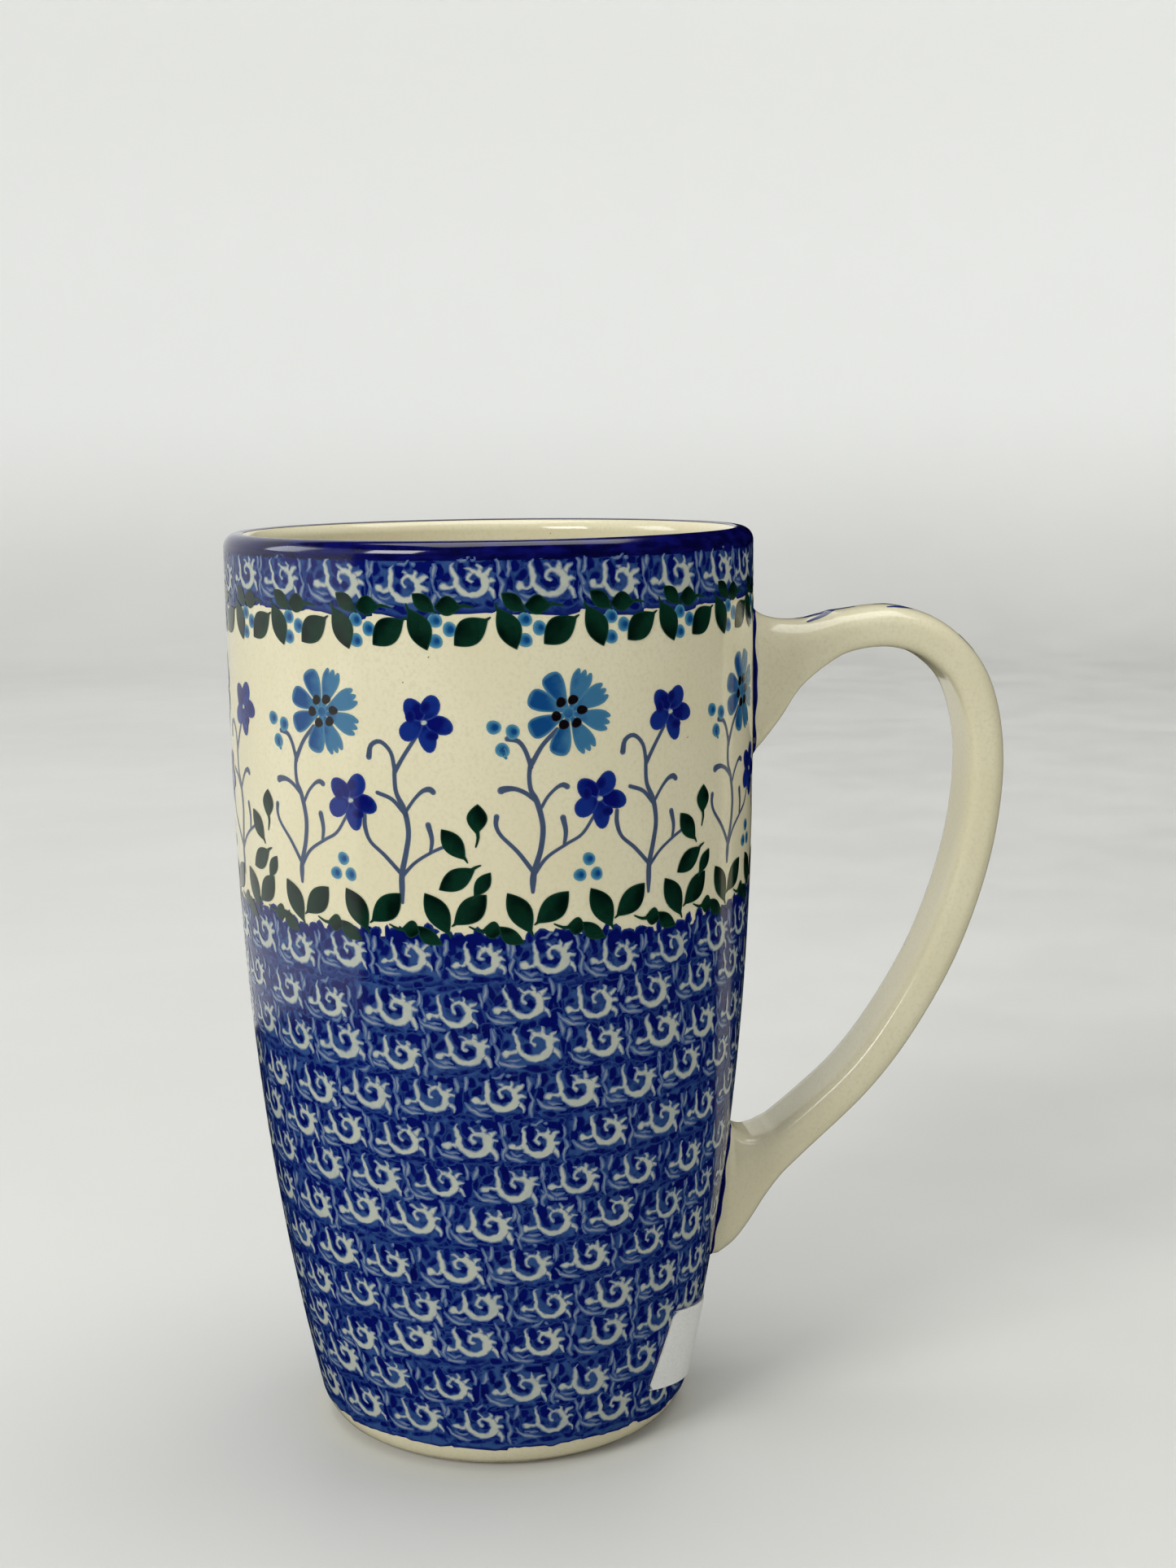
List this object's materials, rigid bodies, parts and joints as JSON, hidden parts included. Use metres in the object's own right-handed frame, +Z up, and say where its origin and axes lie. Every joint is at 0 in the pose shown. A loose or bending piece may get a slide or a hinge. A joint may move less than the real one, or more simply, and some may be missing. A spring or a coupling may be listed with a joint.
{
  "type": "stoneware mug",
  "caption": "Tall tapered stoneware mug with a loop handle, stamped cobalt folk decoration, a dark rim band and a cream lining.",
  "frame": {"origin": "middle of the whole mug's footprint box, at the height of the surface it stands on", "axes": "+Z up along the cup, +X from the cup towards the handle, Y across"},
  "size_m": [0.127, 0.0842, 0.146],
  "materials": {
    "stoneware": "bare fired clay, matt",
    "clear_glaze": "glossy clear glaze over cream slip and painted stamps",
    "cream_glaze": "glossy cream glaze",
    "rim_glaze": "glossy cobalt glaze",
    "cobalt_paint": "cobalt stamp colour under clear glaze",
    "blue_paint": "light blue petal colour under clear glaze",
    "green_paint": "dark green leaf colour under clear glaze",
    "slate_paint": "slate blue brush line under clear glaze",
    "black_paint": "near-black dots under clear glaze",
    "label_paper": "white coated paper, blank"
  },
  "bodies": {
    "root": {"cup_body": "stoneware", "handle_strap": "stoneware", "upper_slip_joint": "stoneware", "lower_slip_joint": "stoneware", "outer_glaze": "clear_glaze", "inner_glaze": "cream_glaze", "underside_glaze": "cream_glaze", "handle_glaze": "cream_glaze", "rim_glaze_band": "rim_glaze", "paper_label": "label_paper"}
  },
  "joints": []
}
